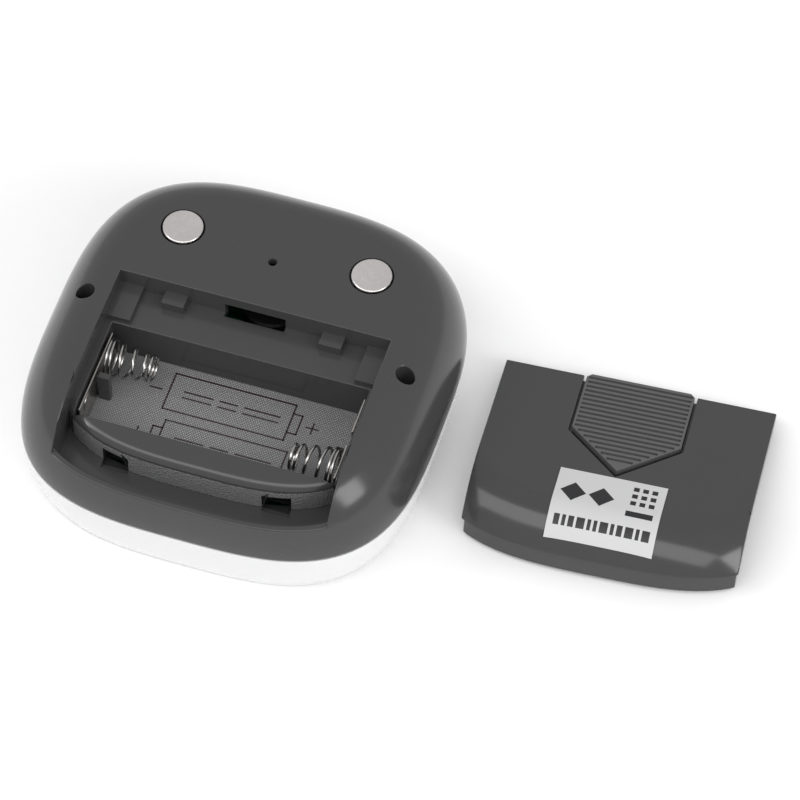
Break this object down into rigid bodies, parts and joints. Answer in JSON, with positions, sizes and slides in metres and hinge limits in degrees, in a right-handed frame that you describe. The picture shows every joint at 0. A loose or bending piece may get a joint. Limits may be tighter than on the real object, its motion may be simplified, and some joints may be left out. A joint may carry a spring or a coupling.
{
  "type": "digital timer",
  "caption": "Palm-size magnetic digital timer lying on its front, with its cell bay open and the loose snap-in battery door beside it.",
  "frame": {"origin": "on the plane of the front face, under the middle of the body's rounded square outline", "axes": "+X along the cells and towards the loose door, +Y from the cell bay towards the magnets, +Z out of the back"},
  "size_m": [0.1419, 0.08, 0.0283],
  "materials": {
    "dark_plastic": "fine satin moulding, dark grey",
    "white_plastic": "smooth gloss white",
    "clear_window": "clear plastic lens",
    "lcd_glass": "reflective liquid crystal glass",
    "frame_plastic": "plain white moulding",
    "strip_rubber": "soft grey connector rubber",
    "black_part": "black moulded component",
    "board_green": "green solder mask",
    "steel": "bright plated steel",
    "capacitor_sleeve": "shrunk dark blue sleeve",
    "nickel": "warm grey nickel plate",
    "red_lead": "red insulation",
    "black_lead": "black insulation",
    "label_film": "silver-grey printed film"
  },
  "bodies": {
    "body": {"rear_shell": "dark_plastic", "front_housing": "white_plastic", "display_window": "clear_window", "lcd_panel": "lcd_glass", "lcd_frame": "frame_plastic", "upper_contact_strip": "strip_rubber", "lower_contact_strip": "strip_rubber", "switch_left": "black_part", "switch_middle": "black_part", "switch_right": "black_part", "main_board": "board_green", "buzzer": "black_part", "controller_chip": "black_part", "clock_crystal": "steel", "capacitor": "capacitor_sleeve", "case_screw_left": "steel", "case_screw_right": "steel", "board_screw_1": "steel", "board_screw_2": "steel", "board_screw_3": "steel", "board_screw_4": "steel", "magnet_left": "nickel", "magnet_right": "nickel", "link_plate": "nickel", "positive_plate": "nickel", "negative_plate": "nickel", "cell_spring_left": "steel", "cell_spring_right": "steel", "positive_lead": "red_lead", "negative_lead": "black_lead"},
    "door": {"battery_door": "dark_plastic", "rating_label": "label_film"},
    "latch": {"door_latch": "dark_plastic"},
    "left_button": {"button_left": "white_plastic"},
    "middle_button": {"button_middle": "white_plastic"},
    "right_button": {"button_right": "white_plastic"}
  },
  "joints": [
    {"name": "door_lift", "type": "slide", "parent": "body", "child": "door", "axis": [0, 0, 1], "range_m": [0, 0.05]},
    {"name": "latch_slide", "type": "slide", "parent": "door", "child": "latch", "axis": [0.0665, -0.9753, 0.2108], "range_m": [0, 0.0012], "stiffness_N_per_m": 1500},
    {"name": "left_button_press", "type": "slide", "parent": "body", "child": "left_button", "axis": [0, 0, 1], "range_m": [0, 0.0005], "stiffness_N_per_m": 600},
    {"name": "middle_button_press", "type": "slide", "parent": "body", "child": "middle_button", "axis": [0, 0, 1], "range_m": [0, 0.0005], "stiffness_N_per_m": 600},
    {"name": "right_button_press", "type": "slide", "parent": "body", "child": "right_button", "axis": [0, 0, 1], "range_m": [0, 0.0005], "stiffness_N_per_m": 600}
  ]
}
